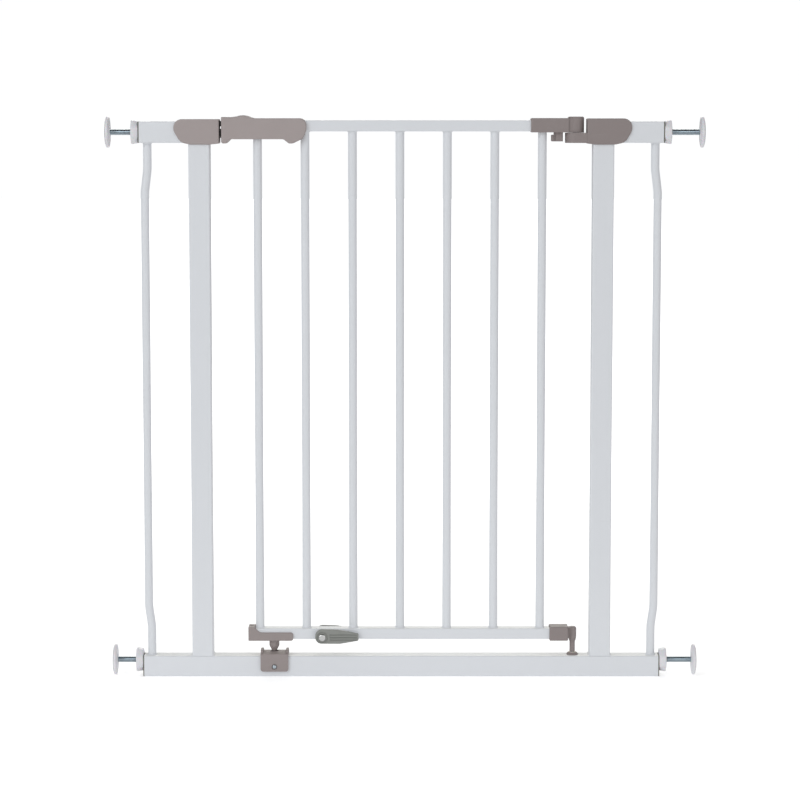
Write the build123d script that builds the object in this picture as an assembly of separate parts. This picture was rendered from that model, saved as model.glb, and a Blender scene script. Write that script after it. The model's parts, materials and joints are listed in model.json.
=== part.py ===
from build123d import *
import os

# Pressure-fit stair gate with a lift-and-swing latch. Millimetres, +Z up, front of the gate at -Y.
# Origin: the middle of the bottom tube's underside. The hinges are at +X, the latch at -X.

os.makedirs("parts", exist_ok=True)

# ---------------------------------------------------------------- driving dimensions
FRAME_HEIGHT = 740.0
TUBE_HEIGHT = 28.0
TUBE_DEPTH = 25.0
TUBE_WALL = 1.5
TUBE_ROUND = 2.0
TUBE_END_X = 344.4
UPRIGHT_X = 265.7
UPRIGHT_WIDTH = 28.0
TOP_TUBE_Z = FRAME_HEIGHT - TUBE_HEIGHT

SIDE_BAR_R = 5.5
SIDE_BAR_END_X = 334.5
SIDE_BAR_MID_X = 338.2
SIDE_BAR_BENDS_Z = (67.0, 93.0, 647.0, 677.0)
SIDE_BAR_BEND_R = 70.0

BAR_COUNT = 7
BAR_PITCH = 62.5
BAR_MIDDLE_X = -1.8
BAR_R = 5.7
BAR_WALL = 1.0

RAIL_HEIGHT = 14.5
RAIL_DEPTH = 18.0
RAIL_WALL = 1.2
TOP_RAIL_Z = 727.0
BOTTOM_RAIL_Z = 50.2
RAIL_CORNER_R = 10.0

HINGE_X = 229.6

SHELL_WALL = 2.4
HALF_SHELL_DEPTH = 15.5
TUBE_PLAY = 0.15

THREAD_R = 4.0
TOP_SPINDLE_Z = 726.0
BOTTOM_SPINDLE_Z = 21.0
PLUG_FLANGE = 1.3
PLUG_LENGTH = 20.0
NUT_FLATS = 31.0
NUT_SIDES = 8
NUT_THICKNESS = 9.5
NUT_CHAMFER = 1.4
CUP_R = 20.25
CUP_THICKNESS = 5.0
SPINDLE_END = 3.4
PAD_R = 17.0
PAD_PROUD = 0.6
PAD_THICKNESS = 1.8
SPINDLE_INNER_STOP_X = 282.0
CUP_NUT_GAP = 2.0

# side, height of the spindle, inner face of the wall cup as it is screwed out at rest
WALL_FIXINGS = {
    "top_left": (-1, TOP_SPINDLE_Z, 383.2),
    "top_right": (1, TOP_SPINDLE_Z, 392.9),
    "bottom_left": (-1, BOTTOM_SPINDLE_Z, 380.4),
    "bottom_right": (1, BOTTOM_SPINDLE_Z, 389.3),
}

SCREW_R = 1.75
SCREW_HOLE_R = 1.8
SCREW_HEAD_R = 3.6
SCREW_HEAD = 2.2


# ---------------------------------------------------------------- helpers
def block(x0, x1, y0, y1, z0, z1):
    """Box between two corners."""
    centre = Pos((x0 + x1) / 2, (y0 + y1) / 2, (z0 + z1) / 2)
    return centre * Box(x1 - x0, y1 - y0, z1 - z0)


def rod_z(x, y, z0, z1, radius):
    """Upright round rod."""
    return Pos(x, y, (z0 + z1) / 2) * Cylinder(radius, z1 - z0)


def rod_x(x0, x1, y, z, radius):
    """Round rod along X."""
    return Pos((x0 + x1) / 2, y, z) * Rot(0, 90, 0) * Cylinder(radius, abs(x1 - x0))


def rod_y(x, y0, y1, z, radius):
    """Round rod along Y."""
    return Pos(x, (y0 + y1) / 2, z) * Rot(90, 0, 0) * Cylinder(radius, y1 - y0)


def outline(corners):
    """Flat outline from (x, z, corner radius) points."""
    face = Polygon(*[(x, z) for x, z, radius in corners], align=None)
    for x, z, radius in corners:
        if radius > 0:
            corner = face.vertices().sort_by_distance((x, z, 0))[0]
            face = fillet(corner, radius)
    return face


def slab(face, y0, y1):
    """Give an XZ outline its depth, from y0 at the front to y1 at the back."""
    return extrude(Plane.XZ.offset(-y1) * face, amount=y1 - y0, dir=(0, -1, 0))


def at_y(edges, y):
    """The edges that lie flat at one depth."""
    return edges.filter_by_position(Axis.Y, y - 0.01, y + 0.01)


def round_front(part, y, radius):
    """Round every edge of the face at depth y."""
    return fillet(at_y(part.edges(), y), radius)


def square_tube_x(x0, x1, z0, height, depth, wall, round_r):
    """Hollow section that lies along X."""
    outer = block(x0, x1, -depth / 2, depth / 2, z0, z0 + height)
    outer = fillet(outer.edges().filter_by(Axis.X), round_r)
    inner = block(x0 - 1, x1 + 1, wall - depth / 2, depth / 2 - wall, z0 + wall, z0 + height - wall)
    return outer - inner


def pan_screw(x, y, z, length, facing, head_r=SCREW_HEAD_R):
    """Pan-head screw along Y: facing -1 has its head at the front, +1 at the back."""
    head = rod_y(x, min(y, y + facing * SCREW_HEAD), max(y, y + facing * SCREW_HEAD), z, head_r)
    rim_y = y + facing * SCREW_HEAD
    head = fillet(at_y(head.edges(), rim_y), 1.4)
    shank = rod_y(x, min(y, y - facing * length), max(y, y - facing * length), z, SCREW_R)
    recess = block(x - 1.9, x + 1.9, rim_y - 1.0, rim_y + 1.0, z - 0.45, z + 0.45)
    recess += block(x - 0.45, x + 0.45, rim_y - 1.0, rim_y + 1.0, z - 1.9, z + 1.9)
    return head + shank - recess


def save(name, part):
    """Write one node."""
    part.label = name
    export_step(part, "parts/" + name + ".step")


# ---------------------------------------------------------------- fixed frame
FOOT_BORE_R = 6.1
COLLAR_FLANGE_R = 7.7
COLLAR_TOP = TUBE_HEIGHT + 3.2
COLLAR_BOTTOM = 20.0
BUSH_BORE_PLAY = 0.06
LOWER_BUSH_R = 5.0
LOWER_PIN_R = 3.6
PIN_FLAT = 2.6
CATCH_X = -169.8
CATCH_SCREW_Z = 13.8


def bottom_tube():
    """Bottom member with the hinge foot's hole and the catch block's screw hole."""
    tube = square_tube_x(-TUBE_END_X, TUBE_END_X, 0, TUBE_HEIGHT, TUBE_DEPTH, TUBE_WALL, TUBE_ROUND)
    tube -= rod_z(HINGE_X, 0, TUBE_HEIGHT - 4, TUBE_HEIGHT + 1, FOOT_BORE_R)
    tube -= rod_y(CATCH_X, -TUBE_DEPTH, 0, CATCH_SCREW_Z, SCREW_HOLE_R)
    return tube


def upright(side):
    """Post between the bottom tube and the top of the frame, with its bracket's screw hole."""
    half = UPRIGHT_WIDTH / 2
    x = side * UPRIGHT_X
    outer = block(x - half, x + half, -TUBE_DEPTH / 2, TUBE_DEPTH / 2, TUBE_HEIGHT, FRAME_HEIGHT)
    outer = fillet(outer.edges().filter_by(Axis.Z), TUBE_ROUND)
    inner = block(
        x - half + TUBE_WALL, x + half - TUBE_WALL, TUBE_WALL - TUBE_DEPTH / 2, TUBE_DEPTH / 2 - TUBE_WALL,
        TUBE_HEIGHT - 1, FRAME_HEIGHT + 1,
    )
    return outer - inner - rod_y(x, 0, TUBE_DEPTH, TOP_SPINDLE_Z, SCREW_HOLE_R)


def top_tube(side):
    """Short tube from the upright out to the wall fixing."""
    inner_x = UPRIGHT_X + UPRIGHT_WIDTH / 2
    x0, x1 = sorted((side * inner_x, side * TUBE_END_X))
    tube = square_tube_x(x0, x1, TOP_TUBE_Z, TUBE_HEIGHT, TUBE_DEPTH, TUBE_WALL, TUBE_ROUND)
    return tube - rod_y(side * BRACKET_OUTER_SCREW_X, 0, TUBE_DEPTH, TOP_SPINDLE_Z, SCREW_HOLE_R)


def side_bar(side):
    """Outer round bar, cranked out a little between its two bends."""
    z0, z1, z2, z3 = SIDE_BAR_BENDS_Z
    points = [
        (side * SIDE_BAR_END_X, 0, TUBE_HEIGHT), (side * SIDE_BAR_END_X, 0, z0),
        (side * SIDE_BAR_MID_X, 0, z1), (side * SIDE_BAR_MID_X, 0, z2),
        (side * SIDE_BAR_END_X, 0, z3), (side * SIDE_BAR_END_X, 0, TOP_TUBE_Z),
    ]
    path = FilletPolyline(*points, radius=SIDE_BAR_BEND_R)
    start = Plane(origin=points[0], z_dir=(0, 0, 1))
    return sweep(start * (Circle(SIDE_BAR_R) - Circle(SIDE_BAR_R - BAR_WALL)), path=path)


def end_plug(side, z0, spindle_z):
    """Plug in a tube's end, with the flange that the hand nut bears on."""
    x_end = side * TUBE_END_X
    inner = TUBE_WALL + 0.1
    x0, x1 = sorted((x_end, side * (TUBE_END_X - PLUG_LENGTH)))
    body = block(x0, x1, inner - TUBE_DEPTH / 2, TUBE_DEPTH / 2 - inner, z0 + inner, z0 + TUBE_HEIGHT - inner)
    f0, f1 = sorted((x_end, side * (TUBE_END_X + PLUG_FLANGE)))
    flange = block(f0, f1, -TUBE_DEPTH / 2, TUBE_DEPTH / 2, z0, z0 + TUBE_HEIGHT)
    flange = fillet(flange.edges().filter_by(Axis.X), TUBE_ROUND)
    bore = rod_x(side * (TUBE_END_X - PLUG_LENGTH - 1), side * (TUBE_END_X + PLUG_FLANGE + 1), 0, spindle_z,
                 THREAD_R + 0.3)
    return body + flange - bore


def end_plugs():
    """The four end plugs."""
    plugs = []
    for side in (-1, 1):
        plugs.append(end_plug(side, 0, BOTTOM_SPINDLE_Z))
        plugs.append(end_plug(side, TOP_TUBE_Z, TOP_SPINDLE_Z))
    return Compound(children=plugs)


# ---------------------------------------------------------------- frame brackets
BRACKET_OUTER_SCREW_X = 290.0
BRACKET_BOTTOM = 709.9
KEEPER_TOP = 743.0
KEEPER_OUTER_X = -298.7
KEEPER_FACE_X = -239.1
INSERT_BACK_X = -251.2
SLOT_BACK_X = -246.5
SLOT_HALF = 4.5
INSERT_HALF = 7.5
SLOT_BOTTOM = 716.4

HINGE_TOP = 744.0
HINGE_OUTER_X = 302.5
HINGE_FACE_X = 244.0
ARM_R = 14.2
ARM_BOTTOM = 711.9
ARM_TOP = 725.2
UPPER_PIN_R = 4.0
UPPER_PIN_TOP = 743.2


def bracket_cavity(side):
    """Room for the upright and the short tube inside a corner bracket."""
    half = UPRIGHT_WIDTH / 2 + TUBE_PLAY
    depth = TUBE_DEPTH / 2 + TUBE_PLAY
    post_x = side * UPRIGHT_X
    post = block(post_x - half, post_x + half, -depth, depth, 700, FRAME_HEIGHT + TUBE_PLAY)
    x0, x1 = sorted((side * UPRIGHT_X, side * 320))
    tube = block(x0, x1, -depth, depth, TOP_TUBE_Z - TUBE_PLAY, FRAME_HEIGHT + TUBE_PLAY)
    return post + tube


def bracket_outline(side, face_x, outer_x, top):
    """Front view of a corner bracket: square towards the gate, swept up towards the wall."""
    return outline([
        (face_x, BRACKET_BOTTOM + 1.2, 1.5), (face_x, top, 1.5), (outer_x, top, 11.0),
        (outer_x, BRACKET_BOTTOM + 17.5, 14.0), (outer_x - side * 9.2, BRACKET_BOTTOM + 2.6, 13.0),
        (outer_x - side * 21.5, BRACKET_BOTTOM, 9.0), (face_x + side * 11.6, BRACKET_BOTTOM, 3.0),
    ])


def half_shell(face, front, side, round_r):
    """One half of a corner bracket, split on the gate's middle plane, with its two screw holes."""
    y0, y1 = (-HALF_SHELL_DEPTH, 0) if front else (0, HALF_SHELL_DEPTH)
    shell = round_front(slab(face, y0, y1), y0 if front else y1, round_r)
    shell -= bracket_cavity(side)
    if not front:
        for x in (side * UPRIGHT_X, side * BRACKET_OUTER_SCREW_X):
            shell -= rod_y(x, 0, 20, TOP_SPINDLE_Z, SCREW_HOLE_R)
    return shell


def keeper_shell(front):
    """Half of the keeper bracket, hollowed for the keeper insert and notched for the tongue."""
    face = bracket_outline(-1, KEEPER_FACE_X, KEEPER_OUTER_X, KEEPER_TOP)
    shell = half_shell(face, front, -1, 1.6)
    play = INSERT_HALF + 0.1
    shell -= block(INSERT_BACK_X - 0.1, -239.7, -play, play, 712.7, FRAME_HEIGHT + 0.1)
    shell -= block(-240, KEEPER_FACE_X + 1, -play, play, 715.4, FRAME_HEIGHT + 0.1)
    return shell - block(SLOT_BACK_X, KEEPER_FACE_X + 1, -SLOT_HALF, SLOT_HALF, SLOT_BOTTOM, KEEPER_TOP + 1)


def keeper_insert():
    """Hard insert whose slot catches the tongue; the slot is open at its top for the lift."""
    insert = block(INSERT_BACK_X, -239.8, -INSERT_HALF, INSERT_HALF, 712.8, FRAME_HEIGHT)
    return insert - block(SLOT_BACK_X, -239, -SLOT_HALF, SLOT_HALF, SLOT_BOTTOM, FRAME_HEIGHT + 1)


def hinge_shell(front):
    """Half of the hinge bracket: corner cover, arm and half of the boss for the hinge pin."""
    face = bracket_outline(1, HINGE_FACE_X, HINGE_OUTER_X, HINGE_TOP)
    body = half_shell(face, front, 1, 1.6)
    y0, y1 = (-ARM_R, 0) if front else (0, ARM_R)
    boss = rod_z(HINGE_X, 0, ARM_BOTTOM, ARM_TOP, ARM_R)
    boss = fillet(boss.edges(), 0.8) & block(HINGE_X - 20, HINGE_X + 20, y0, y1, 700, 740)
    arm = block(HINGE_X, HINGE_FACE_X + 3, y0, y1, ARM_BOTTOM, ARM_TOP)
    arm = arm - bracket_cavity(1)
    return body + boss + arm - rod_z(HINGE_X, 0, ARM_BOTTOM - 1, ARM_TOP + 1, UPPER_PIN_R)


def bracket_screws():
    """The four screws at the back of the corner brackets."""
    seat = HALF_SHELL_DEPTH
    screws = []
    for side in (-1, 1):
        for x in (UPRIGHT_X, BRACKET_OUTER_SCREW_X):
            screws.append(pan_screw(side * x, seat, TOP_SPINDLE_Z, 7.0, 1))
    return Compound(children=screws)


def upper_hinge_pin():
    """Steel pin that stands up from the bracket's arm."""
    pin = rod_z(HINGE_X, 0, ARM_BOTTOM + 0.5, UPPER_PIN_TOP, UPPER_PIN_R)
    return chamfer(pin.edges().group_by(Axis.Z)[-1], 0.8)


def foot_collar():
    """Flanged collar in the bottom tube that carries the lower hinge bush."""
    spigot = rod_z(HINGE_X, 0, COLLAR_BOTTOM, TUBE_HEIGHT, FOOT_BORE_R - 0.05)
    flange = rod_z(HINGE_X, 0, TUBE_HEIGHT, COLLAR_TOP, COLLAR_FLANGE_R)
    flange = chamfer(flange.edges().group_by(Axis.Z)[-1], 1.8)
    bore = rod_z(HINGE_X, 0, COLLAR_BOTTOM - 1, COLLAR_TOP + 1, LOWER_BUSH_R + BUSH_BORE_PLAY)
    return spigot + flange - bore


# ---------------------------------------------------------------- catch block
CATCH_HALF = 18.5
CATCH_BOTTOM = 7.4
CATCH_SHOULDER = 30.8
CATCH_CROWN = 33.0
HORN_TOP = 35.4
SOCKET_R = 5.2
SOCKET_FLOOR = 28.2
CATCH_SCREW_SEAT = -14.4
CATCH_SCREW_HEAD_R = 2.8
CATCH_RECESS_R = 3.8


def catch_block():
    """Saddle on the bottom tube, with ramps that lead the gate's peg up into the socket."""
    low = CATCH_X - CATCH_HALF
    high = CATCH_X + CATCH_HALF
    depth = 16.0
    body = slab(outline([
        (low, CATCH_BOTTOM, 3.5), (high, CATCH_BOTTOM, 3.5),
        (high, CATCH_SHOULDER, 0), (low, CATCH_SHOULDER, 0),
    ]), -depth, depth)
    roof = Plane.YZ.offset(low + 3.4) * make_face(Polyline(
        (-depth, CATCH_SHOULDER - 1), (-depth, CATCH_SHOULDER), (-6, CATCH_CROWN), (6, CATCH_CROWN),
        (depth, CATCH_SHOULDER), (depth, CATCH_SHOULDER - 1), close=True,
    ))
    body += extrude(roof, amount=2 * CATCH_HALF - 6.8)
    for x in (low, high - 3.4):
        horn = block(x, x + 3.4, -11, 11, CATCH_SHOULDER - 1, HORN_TOP)
        horn = fillet(horn.edges().filter_by(Axis.X).group_by(Axis.Z)[-1], 3.0)
        body += horn
    half = TUBE_DEPTH / 2
    body -= block(low - 1, high + 1, -half, half, 0, TUBE_HEIGHT)
    body -= rod_z(CATCH_X, 0, SOCKET_FLOOR, 40, SOCKET_R)
    body -= rod_y(CATCH_X, -depth - 1, CATCH_SCREW_SEAT, CATCH_SCREW_Z, CATCH_RECESS_R)
    return body - rod_y(CATCH_X, -20, 0, CATCH_SCREW_Z, SCREW_HOLE_R)


def catch_screw():
    """Screw that holds the catch block to the bottom tube."""
    return pan_screw(CATCH_X, CATCH_SCREW_SEAT, CATCH_SCREW_Z, 8.0, -1, CATCH_SCREW_HEAD_R)


# ---------------------------------------------------------------- hinge bushes
UPPER_BUSH_R = 6.6
KEY_WIDTH = 3.0
KEY_REACH = 8.0
UPPER_BUSH_TOP = 741.0
KNUCKLE_BOTTOM = 725.5


def upper_hinge_bush():
    """Bush on the upper pin: keyed to the gate's knuckle, it turns with the gate but is not lifted."""
    bottom = ARM_TOP + 0.2
    bush = rod_z(HINGE_X, 0, bottom, UPPER_BUSH_TOP, UPPER_BUSH_R)
    half = KEY_WIDTH / 2
    bush += block(HINGE_X - KEY_REACH, HINGE_X + KEY_REACH, -half, half, bottom, UPPER_BUSH_TOP)
    return bush - rod_z(HINGE_X, 0, bottom - 1, UPPER_BUSH_TOP + 1, UPPER_PIN_R + BUSH_BORE_PLAY)


def d_section(radius, flat):
    """Round section with one flat, on the hinge axis."""
    keep = Pos(flat - 10, 0) * Rectangle(20, 30)
    return Pos(HINGE_X, 0) * (Circle(radius) & keep)


def lower_hinge_bush():
    """Bush in the foot collar: the gate's pin slides in its D-shaped bore and turns it."""
    bottom = COLLAR_BOTTOM - 2.0
    bush = rod_z(HINGE_X, 0, bottom, COLLAR_TOP + 0.6, LOWER_BUSH_R)
    bush += rod_z(HINGE_X, 0, bottom, COLLAR_BOTTOM - 0.4, LOWER_BUSH_R + 0.9)
    bore = extrude(Plane.XY.offset(bottom - 1) * d_section(LOWER_PIN_R + 0.06, PIN_FLAT + 0.06), amount=20)
    return bush - bore


# ---------------------------------------------------------------- gate
BAR_XS = [BAR_MIDDLE_X + BAR_PITCH * (i - BAR_COUNT // 2) for i in range(BAR_COUNT)]
RAIL_LEFT_X = BAR_XS[0] - BAR_R
TOP_RAIL_RIGHT_X = 212.0
BOTTOM_RAIL_RIGHT_X = 220.0
SLEEVE_LEFT_X = 170.2
SLEEVE_TOP = 744.4
SLEEVE_BOTTOM = 725.7
SLEEVE_HALF = 12.0
SLEEVE_SCREW_XS = (190.0, 205.0)
SLEEVE_SCREW_Z = 734.0
KNUCKLE_R = 10.8
KNUCKLE_TOP = 746.4
ELBOW_R = 5.3
STOP_X = -105.8
STOP_Z = 53.8
RIVET_R = 2.5
RIVET_HEAD_R = 4.9


def gate_bar(x):
    """Upright tube between the two rails."""
    bottom = BOTTOM_RAIL_Z + RAIL_HEIGHT
    return rod_z(x, 0, bottom, TOP_RAIL_Z, BAR_R) - rod_z(x, 0, bottom - 1, TOP_RAIL_Z + 1, BAR_R - BAR_WALL)


def top_rail():
    """Top rail, its left end inside the handle and its right end inside the hinge sleeve."""
    rail = square_tube_x(RAIL_LEFT_X, TOP_RAIL_RIGHT_X, TOP_RAIL_Z, RAIL_HEIGHT, RAIL_DEPTH, RAIL_WALL, 1.8)
    for x in SLEEVE_SCREW_XS:
        rail -= rod_y(x, 0, 20, SLEEVE_SCREW_Z, SCREW_HOLE_R)
    return rail


def bottom_rail():
    """Bottom rail: its left end is closed and bent up into the first bar with a round corner."""
    top = BOTTOM_RAIL_Z + RAIL_HEIGHT
    rail = block(RAIL_LEFT_X, BOTTOM_RAIL_RIGHT_X, -RAIL_DEPTH / 2, RAIL_DEPTH / 2, BOTTOM_RAIL_Z, top)
    corner = rail.edges().filter_by(Axis.Y).sort_by(lambda e: e.center().X + e.center().Z)[0]
    rail = fillet(corner, RAIL_CORNER_R)
    rail = fillet(rail.edges().filter_by(Axis.X), 1.8)
    rail -= block(
        RAIL_LEFT_X + 12, BOTTOM_RAIL_RIGHT_X + 1, RAIL_WALL - RAIL_DEPTH / 2, RAIL_DEPTH / 2 - RAIL_WALL,
        BOTTOM_RAIL_Z + RAIL_WALL, top - RAIL_WALL,
    )
    return rail - rod_y(STOP_X, -20, 20, STOP_Z, RIVET_R + 0.05)


def hinge_sleeve():
    """Cap over the top rail's right end, with the knuckle that drops over the upper hinge bush."""
    sleeve = block(SLEEVE_LEFT_X, 219.6, -SLEEVE_HALF, SLEEVE_HALF, SLEEVE_BOTTOM, SLEEVE_TOP)
    rounded = sleeve.edges().group_by(Axis.X)[0] + sleeve.edges().group_by(Axis.Z)[-1].filter_by(Axis.X)
    sleeve = fillet(rounded, 1.6)
    sleeve += block(219.0, HINGE_X, -KNUCKLE_R + 0.6, KNUCKLE_R - 0.6, KNUCKLE_BOTTOM, SLEEVE_TOP - 0.6)
    knuckle = rod_z(HINGE_X, 0, KNUCKLE_BOTTOM, KNUCKLE_TOP, KNUCKLE_R)
    sleeve += fillet(knuckle.edges().group_by(Axis.Z)[-1], 2.2)
    half = RAIL_DEPTH / 2 + 0.1
    sleeve -= block(
        SLEEVE_LEFT_X - 1, TOP_RAIL_RIGHT_X + 0.2, -half, half,
        TOP_RAIL_Z - 0.1, TOP_RAIL_Z + RAIL_HEIGHT + 0.1,
    )
    sleeve -= rod_z(BAR_XS[-1], 0, SLEEVE_BOTTOM - 1, TOP_RAIL_Z, BAR_R + 0.2)
    sleeve += stop_tab()
    key = KEY_WIDTH / 2 + 0.1
    reach = KEY_REACH + 0.2
    sleeve -= rod_z(HINGE_X, 0, KNUCKLE_BOTTOM - 1, UPPER_PIN_TOP + 0.8, UPPER_BUSH_R + 0.1)
    sleeve -= block(HINGE_X - reach, HINGE_X + reach, -key, key, KNUCKLE_BOTTOM - 1, UPPER_BUSH_TOP + 0.6)
    for x in SLEEVE_SCREW_XS:
        sleeve -= rod_y(x, 0, 20, SLEEVE_SCREW_Z, SCREW_HOLE_R)
    return sleeve


def stop_tab():
    """Lug under the sleeve that meets the bracket when the gate is swung past square."""
    lug = block(200.6, 212.4, -7, 7, 713.9, SLEEVE_BOTTOM + 0.5)
    lug = fillet(lug.edges().filter_by(Axis.Z), 2.0)
    flange = block(197.2, 202.0, -5, 5, 713.9, 722.6)
    flange = fillet(flange.edges().filter_by(Axis.Y).group_by(Axis.X)[0], 1.2)
    groove = block(201.4, 203.0, -8, -5.8, 713, 724.5)
    return lug + flange - groove


def gate_screws():
    """Screws at the back of the handle and of the hinge sleeve."""
    screws = []
    for x in SLEEVE_SCREW_XS:
        screws.append(pan_screw(x, SLEEVE_HALF, SLEEVE_SCREW_Z, 7.0, 1))
    for x in HANDLE_SCREW_XS:
        screws.append(pan_screw(x, HALF_SHELL_DEPTH, HANDLE_SCREW_Z, 22.0, 1))
    return Compound(children=screws)


def lower_hinge_elbow():
    """Cap over the bottom rail's right end, with the socket of the lower hinge pin."""
    cap = block(198.4, 223.4, -12, 12, 48.3, 67.2)
    cap = fillet(cap.edges(), 1.6)
    half = RAIL_DEPTH / 2 + 0.1
    low = BOTTOM_RAIL_Z - 0.1
    high = BOTTOM_RAIL_Z + RAIL_HEIGHT + 0.1
    cap -= block(197, BOTTOM_RAIL_RIGHT_X + 0.2, -half, half, low, high)
    profile = make_face(Polyline(
        (0, 47.0), (LOWER_PIN_R + 0.7, 47.0), (ELBOW_R, 52.5), (ELBOW_R, 64.0), (ELBOW_R - 1.6, 66.0),
        (0, 66.0), close=True,
    ))
    socket = Pos(HINGE_X, 0, 0) * revolve(Plane.XZ * profile, Axis.Z)
    web = block(222.5, HINGE_X, -4.6, 4.6, 50.6, 65.2)
    return cap + web + socket - rod_z(HINGE_X, 0, 40, 62.0, LOWER_PIN_R)


def lower_hinge_pin():
    """Pin that hangs from the elbow into the foot, with a flat over the stretch inside the bush."""
    pin = rod_z(HINGE_X, 0, 8.0, 62.0, LOWER_PIN_R)
    pin = chamfer(pin.edges().group_by(Axis.Z)[0], 0.6)
    return pin - block(HINGE_X + PIN_FLAT, HINGE_X + 10, -10, 10, 0, COLLAR_TOP + 1.5)


PEG_X = -170.4
PEG_R = 6.7
LEG_HOLE_X = -200.4
LEG_HOLE_R = 2.3


def corner_bracket():
    """Saddle under the bottom rail's left end that carries the drop peg."""
    face = outline([
        (-204.7, 48.3, 0.8), (-144.8, 48.3, 3.0), (-144.8, 59.3, 3.0), (-190.5, 59.3, 9.0),
        (-196.0, 66.8, 0), (-204.7, 66.8, 0.8),
    ])
    saddle = round_front(round_front(slab(face, -12, 12), -12, 1.0), 12, 1.0)
    saddle -= rail_envelope()
    saddle -= rod_z(LEG_HOLE_X, 0, 60, 70, LEG_HOLE_R)
    return saddle - rod_z(PEG_X, 0, 40, 60, 4.0)


def rail_envelope():
    """Space taken by the bottom rail and the first bar, with a little play."""
    play = 0.1
    half = RAIL_DEPTH / 2 + play
    low = BOTTOM_RAIL_Z - play
    rail = block(RAIL_LEFT_X - play, 0, -half, half, low, BOTTOM_RAIL_Z + RAIL_HEIGHT + 5)
    corner = rail.edges().filter_by(Axis.Y).sort_by(lambda e: e.center().X + e.center().Z)[0]
    return fillet(corner, RAIL_CORNER_R)


def drop_peg():
    """Pointed peg that drops into the catch block's socket."""
    profile = make_face(Polyline(
        (0, 28.6), (1.4, 28.6), (2.0, 31.5), (PEG_R - 0.5, 39.4), (PEG_R, 41.0), (PEG_R, 48.3), (3.9, 48.3),
        (3.9, 50.0), (0, 50.0), close=True,
    ))
    return Pos(PEG_X, 0, 0) * revolve(Plane.XZ * profile, Axis.Z)


# ---------------------------------------------------------------- handle
HANDLE_LEFT_X = -236.3
HANDLE_RIGHT_X = -124.5
HANDLE_TOP = 744.2
CHEEK_TOP = 747.8
TROUGH_X0 = -220.6
TROUGH_X1 = -186.0
TROUGH_HALF = 9.1
HANDLE_FLOOR = 716.8
TOE_Z = 711.2
HANDLE_SCREW_XS = (-176.0, -142.5)
HANDLE_SCREW_Z = 721.5
TONGUE_HALF = 4.0
CARRIAGE_HALF = 7.0
CARRIAGE_FLOOR = 718.6
CARRIAGE_TOP = 741.4
CARRIAGE_LEFT_X = -233.6
CARRIAGE_RIGHT_X = -214.5
TONGUE_TIP_X = -244.5
THUMB_STROKE = 9.0
STEM_X0 = -216.5
STEM_X1 = -206.5
SPRING_Z = 723.2
SPRING_END_X = -198.4
BUTTON_X = -208.0
BUTTON_HALF = 12.0
BUTTON_TOP = 748.1


def handle_outline(inset):
    """Front view of the handle: toe at the latch end, grip lobe near the right end."""
    low = TOE_Z + inset
    floor = HANDLE_FLOOR + inset
    return outline([
        (HANDLE_LEFT_X + inset, low, 3.0 - inset),
        (-230.2 - inset / 2, low, 2.6), (-224.0 - inset / 2, floor, 3.0),
        (-154.6 + inset / 2, floor, 6.0), (-147.6 + inset / 2, low, 4.0), (-142.4, low, 4.0),
        (-129.0 - inset, 717.9 + inset / 2, 1.6), (HANDLE_RIGHT_X - inset, 728.0, 9.0),
        (HANDLE_RIGHT_X - inset, HANDLE_TOP - inset, 9.0 - inset), (-193.2, HANDLE_TOP - inset, 6.0),
        (-206.4, CHEEK_TOP - inset, 1.0), (-208.8, CHEEK_TOP - inset, 1.0),
        (-222.6, HANDLE_TOP + 1.5 - inset, 8.0),
        (HANDLE_LEFT_X + inset, HANDLE_TOP + 1.6 - inset, 1.0),
    ])


def handle_shell(front):
    """Half of the handle, hollow, with cut-outs for the rail, the bars, the tongue and the thumb stem."""
    y_face = -HALF_SHELL_DEPTH if front else HALF_SHELL_DEPTH
    y0, y1 = sorted((y_face, 0))
    shell = round_front(slab(handle_outline(0), y0, y1), y_face, 2.2)
    inner = HALF_SHELL_DEPTH - SHELL_WALL
    c0, c1 = sorted((-inner if front else inner, 0))
    shell -= slab(handle_outline(1.6), c0, c1)
    shell += handle_ribs(c0, c1)
    half = RAIL_DEPTH / 2 + 0.1
    shell -= block(RAIL_LEFT_X - 0.3, -100, -half, half, TOP_RAIL_Z - 0.1, TOP_RAIL_Z + RAIL_HEIGHT + 0.1)
    for x in BAR_XS[:2]:
        shell -= rod_z(x, 0, 700, TOP_RAIL_Z, BAR_R + 0.3)
    mouth = TONGUE_HALF + 0.4
    shell -= block(-240, -230, -mouth, mouth, CARRIAGE_FLOOR - 0.4, CARRIAGE_TOP + 0.3)
    shell -= block(TROUGH_X0, TROUGH_X1, -TROUGH_HALF, TROUGH_HALF, HANDLE_TOP, 750)
    shell -= block(STEM_X0 - 0.6, STEM_X1 + THUMB_STROKE + 0.6, -4.4, 4.4, 740, 750)
    for x in HANDLE_SCREW_XS:
        shell -= rod_y(x, -11, 20, HANDLE_SCREW_Z, SCREW_HOLE_R)
    return shell


def handle_ribs(y0, y1):
    """Ribs and screw posts inside the handle that carry the rail."""
    ribs = Part()
    for x in HANDLE_SCREW_XS:
        ribs += rod_y(x, y0, y1, HANDLE_SCREW_Z, 3.4)
        ribs += block(x - 1, x + 1, y0, y1, HANDLE_SCREW_Z, HANDLE_TOP - 1)
    ribs += block(-161, -159, y0, y1, HANDLE_FLOOR + 1, HANDLE_TOP - 1)
    return ribs


def latch_guide():
    """Channel inside the handle that the latch carriage slides in, with the spring's seat."""
    wall_x = SPRING_END_X + 2.2
    guide = block(-233.8, wall_x, -10.5, 10.5, CARRIAGE_FLOOR, 740.6)
    guide -= block(-235, SPRING_END_X, -CARRIAGE_HALF - 0.3, CARRIAGE_HALF + 0.3, 700, 750)
    return guide - block(SPRING_END_X - 1, wall_x + 1, -CARRIAGE_HALF, CARRIAGE_HALF, CARRIAGE_TOP - 4.6, 750)


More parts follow.
